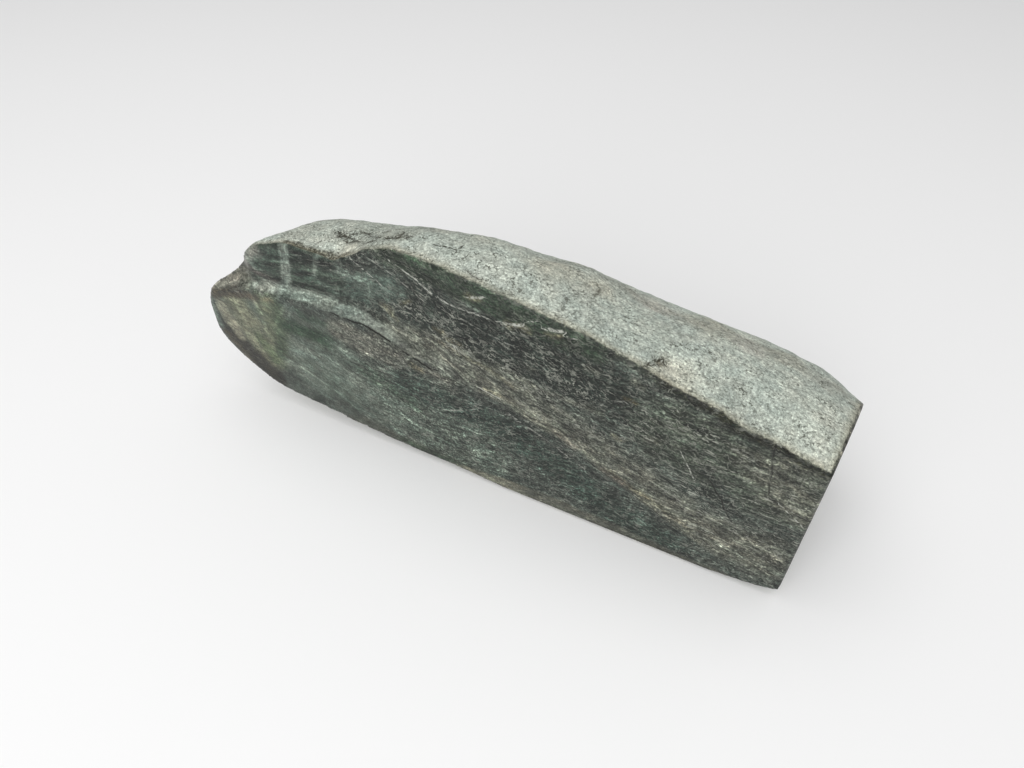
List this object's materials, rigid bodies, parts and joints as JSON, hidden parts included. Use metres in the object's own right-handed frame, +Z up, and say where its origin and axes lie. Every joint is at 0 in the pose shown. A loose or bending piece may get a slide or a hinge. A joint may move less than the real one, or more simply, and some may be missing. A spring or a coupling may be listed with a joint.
{
  "type": "raw jade boulder",
  "caption": "River-worn nephrite boulder sawn flat along its front and across one end, with a pale weathered rind, a thin rounded nose and a sloping saw ledge.",
  "frame": {"origin": "on the resting plane, under the middle of the stone's bounding box", "axes": "+X along the sawn front from the thin nose to the sawn end, +Y from the sawn front to the worn back, +Z up"},
  "size_m": [0.306, 0.0916, 0.1274],
  "materials": {
    "jade": "satin"
  },
  "bodies": {
    "root": {"jade_boulder": "jade"}
  },
  "joints": []
}
